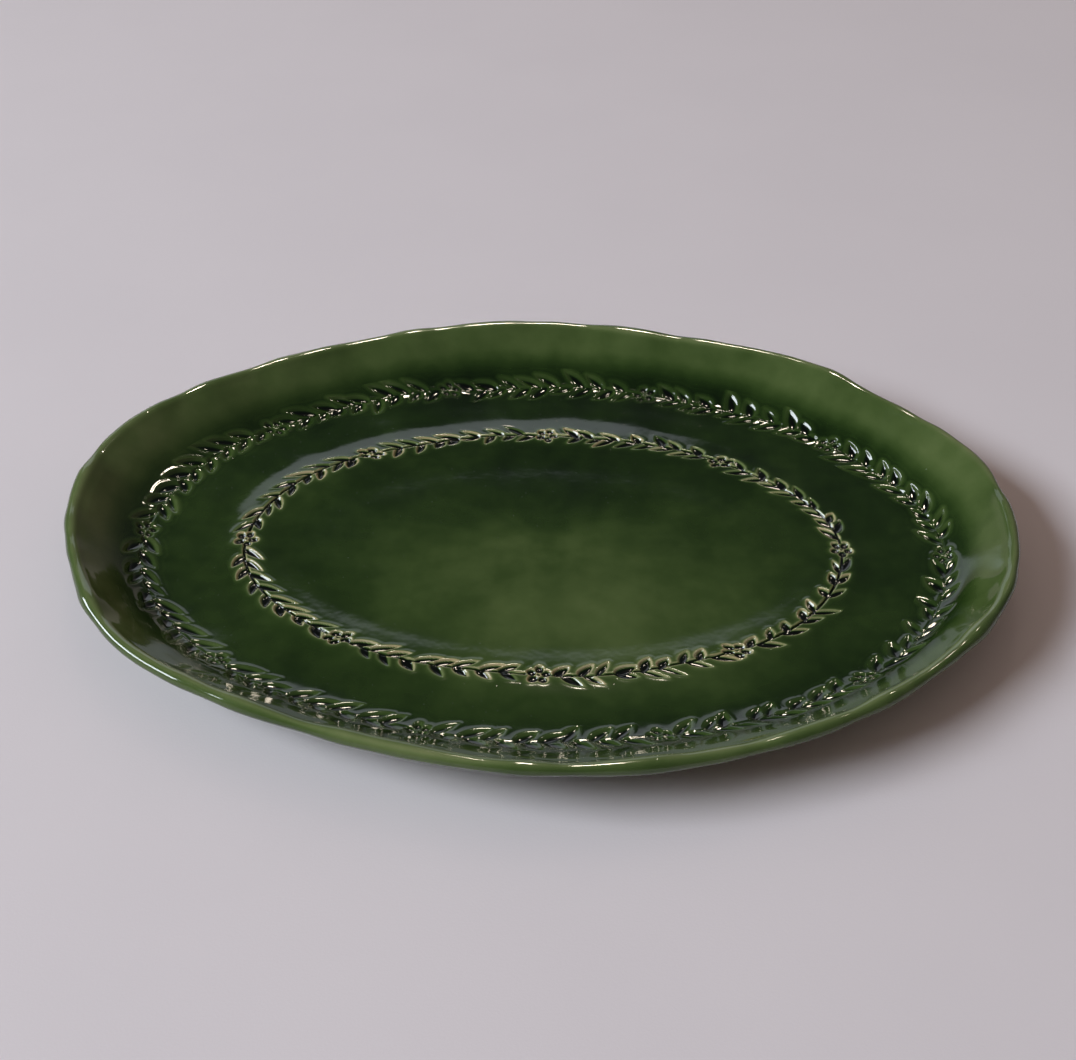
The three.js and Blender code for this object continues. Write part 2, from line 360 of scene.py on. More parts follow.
def stamps(wreath, whole):
    """Every stamp of the wreath: its kind, the numbers that stamp_distance reads, and its depth."""
    pitch = whole / wreath.sprigs
    made = []
    starts = (np.arange(wreath.sprigs) + rng.uniform(-FLOWER_STRAY, FLOWER_STRAY, wreath.sprigs)) * pitch
    for number, start in enumerate(starts):
        end = starts[(number + 1) % wreath.sprigs] + (whole if number == wreath.sprigs - 1 else 0)
        off = rng.uniform(-SPRIG_STRAY, SPRIG_STRAY)
        turn = rng.uniform(0, 2 * math.pi)
        for petal in range(PETALS):
            way = turn + petal * 2 * math.pi / PETALS
            place = (start + PETAL_OFFSET * math.cos(way), off + PETAL_OFFSET * math.sin(way))
            stretch = rng.uniform(*PETAL_STRETCHES)
            made.append(("petal", *place, way, PETAL_RADIUS, stretch, wreath.depth * PETAL_DEPTH_SHARE))
        made.append(("petal", start, off, 0.0, HEART_RADIUS, 1.0, wreath.depth * HEART_DEPTH_SHARE))
        first, last = start + FLOWER_REACH, end - FLOWER_REACH
        for side, shift, count, shallowest in zip((-1, 1), LEAF_SHIFTS, wreath.leaves, wreath.shallowest):
            for k in range(count):
                stray = rng.uniform(-LEAF_STRAY, LEAF_STRAY)
                u = first + (last - first) * (k + LEAF_FIRST + shift + stray) / count
                lean = side * (LEAF_LEAN + rng.normal(0, LEAN_SPREAD))
                length = wreath.leaf_length * rng.uniform(*LEAF_LENGTHS)
                width = wreath.leaf_width * rng.uniform(*LEAF_WIDTHS)
                v = off + stem_wave(u, start, end) + side * LEAF_OFF_STEM
                depth = wreath.depth * rng.uniform(shallowest, DEEPEST_LEAF)
                made.append(("leaf", u, v, lean, length, width, depth))
        made.append(("stem", first - STEM_BEFORE, last + STEM_BEYOND, off, start, end, wreath.stem))
    return made


def stem_wave(u, start, end):
    """The stem's gentle swing from side to side within one sprig."""
    return STEM_SWING * np.sin(2 * math.pi * (u - start) / (end - start))


def stamp_distance(stamp, u, v):
    """Signed distance to one stamp's outline, negative inside."""
    if stamp[0] == "leaf":
        _, u0, v0, lean, length, width, _ = stamp
        du, dv = u - u0, v - v0
        p = du * math.cos(lean) + dv * math.sin(lean)
        q = dv * math.cos(lean) - du * math.sin(lean)
        curl = LEAF_CURL * math.copysign(1, lean) * (p / length) ** 2
        return leaf_distance(p, q + curl, length, width)
    if stamp[0] == "petal":
        _, u0, v0, way, radius, stretch, _ = stamp
        du, dv = u - u0, v - v0
        p = (du * math.cos(way) + dv * math.sin(way)) / stretch
        q = dv * math.cos(way) - du * math.sin(way)
        return np.hypot(p * PETAL_SLIMNESS, q) - radius
    _, first, last, off, start, end, _ = stamp
    beyond = np.maximum(first - u, u - last)
    side = np.abs(v - off - stem_wave(u, start, end)) - STEM_HALF_WIDTH
    return np.where(beyond > 0, np.hypot(beyond, np.maximum(side, 0)), side)


def stamp_span(stamp):
    """The stretch of u that a stamp can touch."""
    kind, first = stamp[:2]
    last = {"leaf": first + stamp[4], "petal": first, "stem": stamp[2]}[kind]
    before, beyond = SPAN_MARGINS[kind]
    return first - before, last + beyond


def press(wreath, s, t):
    """The wreath's relief on the grid (s, t), then how far the glaze breaks, pools and runs there."""
    u_line, whole = middle_line(wreath, t)
    v_line = s - wreath.middle
    near = np.full((len(s), len(t)), FARTHEST)  # distance to the nearest stamp's outline
    sunk, filled, brim = np.zeros((3, len(s), len(t)))  # filled is the share of a stamp's own depth
    for stamp in stamps(wreath, whole):
        low, high = stamp_span(stamp)
        for lap in (-whole, 0.0, whole):
            columns = np.flatnonzero((u_line + lap > low) & (u_line + lap < high))
            if len(columns) == 0:
                continue
            u, v = np.meshgrid(u_line[columns] + lap, v_line)
            d = stamp_distance(stamp, u, v)
            edge = wreath.edge * EDGE_SHARES[stamp[0]]
            share = 1 - np.exp(-(np.maximum(-d, 0) / edge) ** SIDE_CURVE)
            strength = min(1.0, stamp[-1] / wreath.depth)
            outside = np.maximum(d, 0) / wreath.halo
            faint = HALO_FAINT * np.exp(-(outside / HALO_FADE) ** 2)
            rim = (1 - HALO_FAINT) * np.exp(-outside ** 2) + faint
            near[:, columns] = np.minimum(near[:, columns], d)
            sunk[:, columns] = np.maximum(sunk[:, columns], stamp[-1] * share)
            filled[:, columns] = np.maximum(filled[:, columns], share)
            brim[:, columns] = np.maximum(brim[:, columns], strength * rim)
    raised = wreath.burr * np.exp(-((near - BURR_PLACE) / BURR_WIDTH) ** 2)
    thin = brim * (1 - smooth_step(filled, *THIN_ENDS))
    outside = np.maximum(near, 0)
    fading = np.exp(-outside / RUN_FADE) * smooth_step(outside, *RUN_STARTS)
    runs = np.cos(2 * math.pi * outside / RUN_APART) * fading
    return raised - sunk, thin, smooth_step(filled, *POOL_FILLS), runs


# ---------- the hand-made face ----------

# each kind of ripple: the wavelength, the height and how many there are
RIPPLES = [(95, 0.12, 4), (48, 0.07, 4), (22, 0.018, 5), (13, 0.008, 5)]
WELL_RIPPLE = 0.22      # the well is smoother than the rest
WELL_RIPPLE_BLUR = 12   # how far to each side of the inner wreath's middle that changes
LIP_RIPPLE_LOSS = 0.75  # the ripple fades by this much over the lip
LIP_WAVES = [(14, 0.30), (23, 0.26), (34, 0.20), (52, 0.09)]  # waves round the lip, and their height
LIP_WAVE_REACH = 9      # how far in from the crest they fade


def ripple_waves():
    """Straight waves in many directions: (direction, wavelength, height, phase)."""
    waves = []
    for wavelength, tall, count in RIPPLES:
        for _ in range(count):
            way, phase = rng.uniform(0, 2 * math.pi, 2)
            waves.append((way, wavelength * rng.uniform(0.8, 1.25), tall, phase))
    return waves


RIPPLE_WAVES = ripple_waves()


def ripple(points):
    """The face's slight unevenness, in millimetres, at points (..., xyz) in millimetres."""
    height = np.zeros(points.shape[:-1])
    for way, long, tall, phase in RIPPLE_WAVES:
        across = points[..., 0] * math.cos(way) + points[..., 1] * math.sin(way)
        height += tall * np.sin(2 * math.pi * across / long + phase)
    return height


LIP_PHASES = rng.uniform(0, 2 * math.pi, len(LIP_WAVES))


def hand_worked(s, t):
    """The clay surface with the small rises and dips that fingers leave along a lip."""
    clay = evaluate(s, t)
    wave = sum(tall * np.sin(turns * t + phase) for (turns, tall), phase in zip(LIP_WAVES, LIP_PHASES))
    share = np.exp(-((s - along("crest")) / LIP_WAVE_REACH) ** 2)
    return clay + grid_normals(clay) * (share[:, None] * wave)[..., None]


def smooth_step(x, low, high):
    """0 up to low, 1 from high, with a soft rise between."""
    x = np.clip((x - low) / (high - low), 0, 1)
    return x * x * (3 - 2 * x)


def coat_thickness(s):
    """The glaze's real thickness along the section: thin on the lip, tapering away at the foot."""
    crest = along("crest")
    on_lip = np.exp(-((s - crest) / LIP_THINNED) ** 2)
    inside = np.where(s < crest, FACE_GLAZE, OUTSIDE_GLAZE)
    full = inside - (inside - LIP_GLAZE) * on_lip
    return full * np.clip((along("foot_margin") - s) / FOOT_TAPER, 0, 1) ** 0.5


def base_tint(points, s, t):
    """Optical thickness of the glaze over the smooth surface: its points on the grid (s, t). It also holds
    painted light, which makes the wall's left end paler.
    """
    crest = along("crest")
    off = (points[..., :2] - OVAL_MIDDLE - WELL_PALEST) / WELL_PALE_REACH
    floor_tint = FLOOR_TINT - LEFT_TINT * np.cos(t) + ENDS_TINT * np.cos(t) ** 2
    reach = np.hypot(off[..., 0], off[..., 1])
    tint = WELL_TINT + (floor_tint - WELL_TINT) * smooth_step(reach, 0.0, 1.0)
    s = s[:, None]
    tint = tint + POOL_TINT * np.exp(-((s - OUTER_MIDDLE) / POOL_WIDTH) ** 2)
    # painted light: the wall's left end gets paler glaze, standing in for light that falls on it
    wall_tint_and_painted_light = WALL_TINT + WALL_LEFT_PAINTED_LIGHT * smooth_step(-np.cos(t), PAINTED_LIGHT_LEFT_START, 1.0)
    wall_start, wall_full = along("wreath_outside") - WALL_TINT_BEFORE, along("wall_low") + WALL_TINT_BEYOND
    tint = tint + (wall_tint_and_painted_light - tint) * smooth_step(s, wall_start, wall_full)
    tint = tint + (OUTSIDE_TINT - tint) * smooth_step(s, crest, crest + OUTSIDE_TINT_START)
    wander = sum(far * np.sin(turns * t + phase) for turns, far, phase in LIP_WANDERS)
    band = np.exp(-((s - crest - wander[None]) / LIP_BAND) ** 2)
    return tint + (LIP_TINT - tint) * band


# ---------- rows of points into closed meshes ----------

def strip(faces, first, count_a, second, count_b):
    """Faces between two closed rings of points; one may have twice as many points as the other."""
    if count_a == count_b:
        here = np.arange(count_a)
        ahead = (here + 1) % count_a
        faces.append(np.stack([first + here, second + here, second + ahead], 1))
        faces.append(np.stack([first + here, second + ahead, first + ahead], 1))
        return
    if count_a > count_b:
        wide, fine, flip = second, first, True
    else:
        wide, fine, flip = first, second, False
    count = min(count_a, count_b)
    here = np.arange(count)
    ahead = (here + 1) % count
    even, odd, next_even = 2 * here, 2 * here + 1, (2 * here + 2) % (2 * count)
    fan = [np.stack([wide + here, fine + even, fine + odd], 1),
           np.stack([wide + here, fine + odd, wide + ahead], 1),
           np.stack([wide + ahead, fine + odd, fine + next_even], 1)]
    faces.extend(f[:, ::-1] if flip else f for f in fan)


class Row:
    """One closed ring of points, with its tint and its normals."""

    def __init__(self, points, normals, tint):
        self.points, self.normals, self.tint = points, normals, tint

    def thinned(self, times):
        return Row(self.points[::times], self.normals[::times], self.tint[::times])


def mesh_from_rows(name, rows, capped):
    """A closed mesh. When capped, its end rows close over a point; otherwise they join each other."""
    counts = [len(row.points) for row in rows]
    starts = np.concatenate([[0], np.cumsum(counts)]).astype(int)
    points = [row.points for row in rows]
    normals = [row.normals for row in rows]
    tints = [row.tint for row in rows]
    faces = []
    for i in range(len(rows) - 1 if capped else len(rows)):
        j = (i + 1) % len(rows)
        strip(faces, starts[i], counts[i], starts[j], counts[j])
    if capped:
        for row, start, top in ((rows[0], starts[0], True), (rows[-1], starts[-2], False)):
            tip = sum(len(p) for p in points)
            here = start + np.arange(len(row.points))
            ahead = start + (np.arange(len(row.points)) + 1) % len(row.points)
            cap = np.stack([np.full(len(here), tip), here, ahead], 1)
            faces.append(cap if top else cap[:, ::-1])
            points.append(row.points.mean(0, keepdims=True))
            normals.append(row.normals.mean(0, keepdims=True))
            tints.append(row.tint.mean(keepdims=True))
    points = np.concatenate(points) * MM
    normals = np.concatenate(normals)
    normals = normals / np.maximum(np.linalg.norm(normals, axis=1, keepdims=True), 1e-9)
    faces = np.concatenate(faces)
    mesh = bpy.data.meshes.new(name)
    mesh.vertices.add(len(points))
    mesh.vertices.foreach_set("co", points.ravel())
    mesh.loops.add(faces.size)
    mesh.loops.foreach_set("vertex_index", faces.ravel().astype(np.int32))
    mesh.polygons.add(len(faces))
    mesh.polygons.foreach_set("loop_start", np.arange(0, faces.size, 3, dtype=np.int32))
    mesh.polygons.foreach_set("use_smooth", np.ones(len(faces), bool))
    mesh.update(calc_edges=True)
    tint = mesh.attributes.new("tint", "FLOAT", "POINT")
    tint.data.foreach_set("value", np.concatenate(tints).astype(np.float32))
    mesh.validate()
    mesh.normals_split_custom_set_from_vertices(normals)
    piece = bpy.data.objects.new(name, mesh)
    bpy.context.scene.collection.objects.link(piece)
    return piece


def coated(s, wreath=None):
    """Front rows of the glaze and back rows on the clay, at full resolution, for the section lengths s."""
    halo = np.concatenate([[2 * s[0] - s[1]], s, [2 * s[-1] - s[-2]]])
    halo = np.clip(halo, 1e-3, along("foot_margin"))
    clay = hand_worked(halo, ANGLES)
    out = grid_normals(clay)
    height = coat_thickness(halo)[:, None] + ripple(clay) * face_share(halo)[:, None]
    tint = base_tint(clay, halo, ANGLES)
    sink = np.zeros_like(height)
    if wreath:
        relief, thin, pooled, runs = press(wreath, halo, ANGLES)
        height = height + relief
        tint = tint + wreath.runs * runs
        tint = tint + (BREAK_TINT - tint) * thin * wreath.breaks
        tint = tint + wreath.pool * pooled * (1 - thin)
        sink = sink + WREATH_BED * wreath_bed(halo, wreath)[:, None]
    front = clay + out * height[..., None]
    shading = grid_normals(front)
    back = clay - out * sink[..., None]
    inner = slice(1, -1)
    fronts = [Row(p, n, v) for p, n, v in zip(front[inner], shading[inner], tint[inner])]
    backs = [Row(p, -n, v) for p, n, v in zip(back[inner], out[inner], tint[inner])]
    return fronts, backs


def wreath_bed(s, wreath):
    """1 under a wreath, 0 at the edges of its band."""
    x = np.clip(1 - np.abs(s - wreath.middle) / wreath.band, 0, 1)
    return smooth_step(x, 0, BED_SLOPE)


def face_share(s):
    """The ripple belongs to the face and the wall: it is slighter in the well and fades over the lip."""
    fade = LIP_RIPPLE_LOSS * smooth_step(s, along("wall_high"), along("crest"))
    full = smooth_step(s, INNER_MIDDLE - WELL_RIPPLE_BLUR, INNER_MIDDLE + WELL_RIPPLE_BLUR)
    return WELL_RIPPLE + (1 - WELL_RIPPLE) * full - fade


# ---------- the pieces ----------

def steps(low, high, step):
    """Even section lengths from low to high, about one step apart."""
    return np.linspace(low, high, max(2, round((high - low) / step) + 1))


def band_shell(name, s, thinning, wreath=None):
    """A closed band of glaze, its front on the face and its back on the clay. thinning says how many fine
    stations become one on each front row. The back keeps the front's two edges and few rows between."""
    fronts, backs = coated(s, wreath)
    front = [row.thinned(times) for row, times in zip(fronts, thinning)]
    picked = [i for i in range(len(s)) if i % BACK_EVERY == 0 and 0 < i < len(s) - 1]
    back = [backs[-1].thinned(thinning[-1])]
    back += [backs[i].thinned(COARSE) for i in reversed(picked)]
    back += [backs[0].thinned(thinning[0])]
    return mesh_from_rows(name, front + back, capped=False)


def edged(s, first, last):
    """Coarse rows whose first or last row is a fine one, where it meets a wreath."""
    thinning = [COARSE] * len(s)
    thinning[0], thinning[-1] = first, last
    return thinning


def glaze_well(high):
    """The middle of the face, whose shell closes over a point at the top and at the back."""
    s = steps(WELL_START, high, WELL_STEP)
    fronts, backs = coated(s)
    thinning = [next(times for reach, times in WELL_THINNING if v < reach) for v in s]
    thinning[-1] = 1
    front = [row.thinned(times) for row, times in zip(fronts, thinning)]
    back = [row.thinned(times) for row, times in zip(backs, thinning)]
    return mesh_from_rows("glaze_well", front + back[::-1], capped=True)


def wreath_zone(wreath):
    return wreath.middle - wreath.band, wreath.middle + wreath.band


LIP_BEYOND = 5  # the lip's glaze ends this far beyond the lip's underside


def glaze_pieces():
    """The glaze as a person would name its areas, from the middle of the well to the foot."""
    inner_low, inner_high = wreath_zone(INNER_WREATH)
    outer_low, outer_high = wreath_zone(OUTER_WREATH)
    lip_start, lip_end = along("wall_high"), along("lip_under") + LIP_BEYOND
    inner_rows = steps(inner_low, inner_high, INNER_WREATH_STEP)
    outer_rows = steps(outer_low, outer_high, OUTER_WREATH_STEP)
    floor_rows = steps(inner_high, outer_low, FLOOR_STEP)
    wall_rows = steps(outer_high, lip_start, WALL_STEP)
    rim_rows = np.concatenate([wall_rows[:-1], steps(lip_start, lip_end, LIP_STEP)])
    under_rows = steps(lip_end, along("foot_margin"), UNDER_STEP)
    return [
        glaze_well(inner_low),
        band_shell("glaze_inner_wreath", inner_rows, [1] * len(inner_rows), INNER_WREATH),
        band_shell("glaze_floor", floor_rows, edged(floor_rows, 1, 1)),
        band_shell("glaze_outer_wreath", outer_rows, [1] * len(outer_rows), OUTER_WREATH),
        band_shell("glaze_wall_and_lip", rim_rows, edged(rim_rows, 1, COARSE)),
        band_shell("glaze_underside", under_rows, edged(under_rows, COARSE, COARSE)),
    ]


def scaled_ring(row, share, z):
    """The row's ring shrunk towards the platter's middle, at height z."""
    points = row.points.copy()
    points[:, :2] = OVAL_MIDDLE + (points[:, :2] - OVAL_MIDDLE) * share
    points[:, 2] = z
    normals = np.tile([0.0, 0.0, -1.0], (len(points), 1))
    return Row(points, normals, row.tint)


UNDER_SHARES = [0.97, 0.9, 0.7, 0.45, 0.2, 0.05]  # rings across the flat underside
BARE_MARGIN = 0.5  # the clay isn't set back this near the foot, where the glaze has ended


def clay_core():
    """The clay body as it is under the glaze, with its beds under the wreaths and its bare foot margin."""
    face = steps(WELL_START, along("wall_high"), CLAY_STEP)
    lip = steps(along("wall_high"), along("under_high"), CLAY_LIP_STEP)
    under = steps(along("under_high"), along("foot_margin"), CLAY_STEP)
    s = np.concatenate([face[:-1], lip, under[1:]])
    clay = hand_worked(s, ANGLES[::CLAY_THINNING])
    out = grid_normals(clay)
    bed = sum(wreath_bed(s, wreath) for wreath in (INNER_WREATH, OUTER_WREATH)) * WREATH_BED
    sink = (CLAY_CLEAR + bed) * (s < along("foot_margin") - BARE_MARGIN)
    points = clay - out * sink[:, None, None]
    tint = np.ones(clay.shape[1])
    rows = [Row(p, n, tint) for p, n in zip(points, grid_normals(points))]
    bottom = rows[-1].points[:, 2].mean()
    rows += [scaled_ring(rows[-1], share, bottom) for share in UNDER_SHARES]
    return mesh_from_rows("clay_core", rows, capped=True)


CORNER_CUT = 0.25  # of each side, at both its ends
WIPES = 3          # how many times the foot ring's corners are cut


def rounded(rows, times):
    """Cuts the corners of a closed section, given as an array (row, station, xyz)."""
    for _ in range(times):
        ahead = np.roll(rows, -1, axis=0)
        near = rows * (1 - CORNER_CUT) + ahead * CORNER_CUT
        far = rows * CORNER_CUT + ahead * (1 - CORNER_CUT)
        cut = np.stack([near, far], 1)
        rows = cut.reshape(-1, *rows.shape[1:])
    return rows


def closed_normals(points):
    """Normals of a grid that closes both round the platter and round its own section."""
    around = np.roll(points, -1, axis=1) - np.roll(points, 1, axis=1)
    onward = np.roll(points, -1, axis=0) - np.roll(points, 1, axis=0)
    normal = np.cross(onward, around)
    return normal / np.maximum(np.linalg.norm(normal, axis=2, keepdims=True), 1e-12)


FOOT = rings_of(foot_harmonics(), ANGLES[::CLAY_THINNING])


def luted_foot():
    """The foot ring, its edges softened by wiping."""
    section = rounded(FOOT[::-1], WIPES)
    tint = np.ones(section.shape[1])
    rows = [Row(p, n, tint) for p, n in zip(section, closed_normals(section))]
    return mesh_from_rows("foot_ring_clay", rows, capped=False)


# rings of the base's coat, as shares of the foot ring's inner edge
COAT_TOP_SHARES = [0.1, 0.4, 0.7, 0.9, 0.985]
COAT_EDGE_SHARE = 0.993
COAT_UNDER_SHARES = [0.985, 0.95, 0.9, 0.8, 0.65, 0.5, 0.35, 0.2, 0.1]
COAT_UNEVEN = 0.4  # the ripple's share in it


def base_coat():
    """The thin coat inside the foot ring, with a rounded edge where it was wiped back."""
    (_, _, low), (_, _, high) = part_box("glaze_base")
    top, bottom = high / MM - CLAY_CLEAR, low / MM
    up = np.tile([0.0, 0.0, 1.0], (FOOT.shape[1], 1))
    edge = Row(FOOT[0], up, np.full(FOOT.shape[1], OUTSIDE_TINT))
    upper = [scaled_ring(edge, share, top) for share in COAT_TOP_SHARES]
    rounding = [scaled_ring(edge, COAT_EDGE_SHARE, (top + bottom) / 2)]
    under = [scaled_ring(edge, share, bottom) for share in COAT_UNDER_SHARES]
    for row in under[1:]:
        row.points[:, 2] += COAT_UNEVEN * ripple(row.points)
    for row in upper:
        row.normals = up
    return mesh_from_rows("glaze_base_coat", upper + rounding + under, capped=True)


# ---------- node trees ----------

class Tree:
    """Short words for building a node tree; numbers and sockets can both be fed to any input."""

    def __init__(self, tree):
        self.tree = tree
        tree.nodes.clear()

    def node(self, kind, **settings):
        made = self.tree.nodes.new("ShaderNode" + kind)
        for name, value in settings.items():
            setattr(made, name, value)
        return made

    def feed(self, target, value):
        if isinstance(value, bpy.types.NodeSocket):
            self.tree.links.new(value, target)
        else:
            target.default_value = value

    def calc(self, operation, *values):
        made = self.node("Math", operation=operation)
        for target, value in zip(made.inputs, values):
            self.feed(target, value)
        return made.outputs[0]

    def span(self, value, low, high, to_low=0.0, to_high=1.0):
        """The value carried smoothly from low..high to to_low..to_high."""
        made = self.node("MapRange", interpolation_type="SMOOTHSTEP")
        for name, number in (("Value", value), ("From Min", low), ("From Max", high),
                             ("To Min", to_low), ("To Max", to_high)):
            self.feed(made.inputs[name], number)
        return made.outputs[0]

    def rise(self, value, edge, blur):
        """0 below the edge, 1 above it."""
        return self.span(value, edge - blur, edge + blur)

    def fall(self, value, edge, blur):
        """1 below the edge, 0 above it."""
        return self.span(value, edge - blur, edge + blur, 1.0, 0.0)

    def place(self):
        """The point's place in metres, in the platter's own frame."""
        return self.node("TexCoord").outputs["Object"]

    def noise(self, scale, detail):
        made = self.node("TexNoise")
        self.feed(made.inputs["Vector"], self.place())
        self.feed(made.inputs["Scale"], scale)
        self.feed(made.inputs["Detail"], detail)
        return made.outputs[0]

    def spots(self, scale):
        """Distance to the nearest of many scattered points, in cells."""
        made = self.node("TexVoronoi")
        self.feed(made.inputs["Vector"], self.place())
        self.feed(made.inputs["Scale"], scale)
        return made.outputs["Distance"]

    def ramp(self, value, stops):
        made = self.node("ValToRGB")
        elements = made.color_ramp.elements
        while len(elements) < len(stops):
            elements.new(1.0)
        for element, (position, colour) in zip(elements, stops):
            element.position = position
            element.color = (*colour, 1)
        self.feed(made.inputs[0], value)
        return made.outputs[0]

    def blend(self, share, first, second):
        made = self.node("Mix", data_type="RGBA")
        colours = [socket for socket in made.inputs if socket.type == "RGBA"]
        self.feed(made.inputs[0], share)
        for target, value in zip(colours, (first, second)):
            self.feed(target, value if isinstance(value, bpy.types.NodeSocket) else (*value, 1))
        return next(socket for socket in made.outputs if socket.type == "RGBA")

    def bump(self, height, distance, strength=1.0, under=None):
        made = self.node("Bump")
        self.feed(made.inputs["Height"], height)
        self.feed(made.inputs["Distance"], distance)
        self.feed(made.inputs["Strength"], strength)
        if under:
            self.feed(made.inputs["Normal"], under)
        return made.outputs[0]


def surface(name, colour, roughness, bump, ior=1.5):
    """A material from functions of its tree: colour, roughness and bump return a socket or a number."""
    material = bpy.data.materials.new(name)
    material.use_nodes = True
    tree = Tree(material.node_tree)
    shader = tree.node("BsdfPrincipled")
    output = tree.node("OutputMaterial")
    tree.feed(shader.inputs["Base Color"], colour(tree))
    tree.feed(shader.inputs["Roughness"], roughness(tree))
    tree.feed(shader.inputs["Normal"], bump(tree))
    tree.feed(shader.inputs["IOR"], ior)
    tree.feed(output.inputs["Surface"], shader.outputs[0])
    return material


# ---------- the glaze ----------

CLAY_UNDER_GLAZE = (0.62, 0.55, 0.40)
ABSORPTION = (6.6, 4.9, 7.8)  # per millimetre of glaze, for red, green and blue light
GOLD = (0.42, 0.30, 0.14)  # iron that shows where the glaze is thinnest
RAMP_STOPS = 16
STOP_CROWDING = 1.6        # towards thin glaze, where the colour changes fastest
BROAD_MOTTLE, FINE_MOTTLE = (25, 0.12), (90, 0.06)  # the clouds' fineness and their share
GOLD_THICKNESS, GOLD_SHARE = (0.10, 0.24), 0.5  # the gold fades between these
GOLD_PATCHES = (60, 0.3)   # their fineness, and what is left between them
GLAZE_ROUGHNESS, GLAZE_IOR = (0.06, 0.10), 1.52
PEEL, PEEL_HEIGHT = 240, 0.00003
PINHOLES, PINHOLE_SIZE, PINHOLE_DEPTH, PINHOLE_STRENGTH = 260, 0.09, 0.00006, 0.5


def seen_through(thickness):
    """The clay's colour seen through this much glaze."""
    return [clay * math.exp(-take * thickness) for clay, take in zip(CLAY_UNDER_GLAZE, ABSORPTION)]


def mottled(tree, thickness, fineness, share):
    """The thickness, made uneven by up to this share."""
    clouds = tree.span(tree.noise(fineness, 3), 0.25, 0.75, 1 - share, 1 + share)
    return tree.calc("MULTIPLY", thickness, clouds)


def glaze_colour(tree):
    """The clay seen through the glaze, with gold where it is thinnest."""
    tint = tree.node("Attribute", attribute_name="tint").outputs["Fac"]
    thickness = mottled(tree, mottled(tree, tint, *BROAD_MOTTLE), *FINE_MOTTLE)
    shares = [(i / (RAMP_STOPS - 1)) ** STOP_CROWDING for i in range(RAMP_STOPS)]
    stops = [(share, seen_through(share * DEEPEST_TINT)) for share in shares]
    green = tree.ramp(tree.calc("DIVIDE", thickness, DEEPEST_TINT), stops)
    thin = tree.span(thickness, *GOLD_THICKNESS, GOLD_SHARE, 0.0)
    fineness, least = GOLD_PATCHES
    patches = tree.span(tree.noise(fineness, 2), 0.35, 0.65, least, 1.0)
    return tree.blend(tree.calc("MULTIPLY", thin, patches), green, GOLD)


def glaze_roughness(tree):
    return tree.span(tree.noise(30, 2), 0.3, 0.7, *GLAZE_ROUGHNESS)


def glaze_bump(tree):
    peel = tree.bump(tree.noise(PEEL, 1), PEEL_HEIGHT)
    pinholes = tree.span(tree.spots(PINHOLES), 0.0, PINHOLE_SIZE)
    return tree.bump(pinholes, PINHOLE_DEPTH, PINHOLE_STRENGTH, under=peel)


# ---------- the bare clay ----------

CLAY_LIGHT, CLAY_DARK, CLAY_GROG = (0.50, 0.40, 0.28), (0.36, 0.27, 0.18), (0.16, 0.10, 0.06)
GROG, GROG_SIZES, GROG_SHARE = 700, (0.12, 0.24), 0.6
COARSE_GRAIN, COARSE_HEIGHT = 400, 0.0001
FINE_GRAIN, FINE_HEIGHT, SANDED_HEIGHT = 1600, 0.00008, 0.00003
CLAY_ROUGHNESS, SANDED_ROUGHNESS = 0.85, 0.7


def clay_colour(tree):
    cloudy = tree.blend(tree.noise(35, 4), CLAY_DARK, CLAY_LIGHT)
    grog = tree.span(tree.spots(GROG), *GROG_SIZES, 1.0, 0.0)
    return tree.blend(tree.calc("MULTIPLY", grog, GROG_SHARE), cloudy, CLAY_GROG)


def clay_bump(tree):
    grain = tree.bump(tree.noise(FINE_GRAIN, 2), FINE_HEIGHT)
    return tree.bump(tree.noise(COARSE_GRAIN, 2), COARSE_HEIGHT, under=grain)


def sanded_bump(tree):
    return tree.bump(tree.noise(FINE_GRAIN, 2), SANDED_HEIGHT)


GLAZE = surface("green_glaze", glaze_colour, glaze_roughness, glaze_bump, GLAZE_IOR)
CLAY = surface("bare_clay", clay_colour, lambda tree: CLAY_ROUGHNESS, clay_bump)
FOOT_CLAY = surface("sanded_clay", clay_colour, lambda tree: SANDED_ROUGHNESS, sanded_bump)


# ---------- the pieces on the frame ----------

def settle(piece, node, material):
    """A piece rides on the platter's body, stands for its CAD node and takes its looks."""
    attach(piece, "root")
    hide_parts(node)
    piece.data.materials.append(material)


for piece in glaze_pieces():
    if piece.name == "glaze_underside":
        settle(piece, "glaze_outside", GLAZE)
    else:
        settle(piece, "glaze_face", GLAZE)
settle(base_coat(), "glaze_base", GLAZE)
settle(clay_core(), "clay_body", CLAY)
settle(luted_foot(), "foot_ring", FOOT_CLAY)


# ---------- the floor ----------

FLOOR_ACROSS = 30.0  # wide enough that no view shows its edge near the platter
FLOOR_COLOUR = (0.73, 0.70, 0.73)
FLOOR_CLOUD, CLOUDS, CLOUD_SHARE = (0.5, 0.48, 0.52), 9, 0.06
WEAVE, WEAVE_HEIGHT, WEAVE_STRENGTH = 900, 0.0001, 0.4
FLOOR_ROUGHNESS = 0.9


def floor():
    """A plain pale floor at the height where the platter rests."""
    low = cad_box[0][2]
    half = FLOOR_ACROSS / 2
    mesh = bpy.data.meshes.new("floor")
    corners = [(x, y, low) for x, y in ((-half, -half), (half, -half), (half, half), (-half, half))]
    mesh.from_pydata(corners, [], [(0, 1, 2, 3)])
    made = bpy.data.objects.new("floor", mesh)
    bpy.context.scene.collection.objects.link(made)

    def colour(tree):
        clouds = tree.span(tree.noise(CLOUDS, 3), 0.3, 0.7, 0.0, CLOUD_SHARE)
        return tree.blend(clouds, FLOOR_COLOUR, FLOOR_CLOUD)

    def weave(tree):
        return tree.bump(tree.noise(WEAVE, 2), WEAVE_HEIGHT, WEAVE_STRENGTH)

    mesh.materials.append(surface("plain_floor", colour, lambda tree: FLOOR_ROUGHNESS, weave))


floor()


# ---------- light ----------

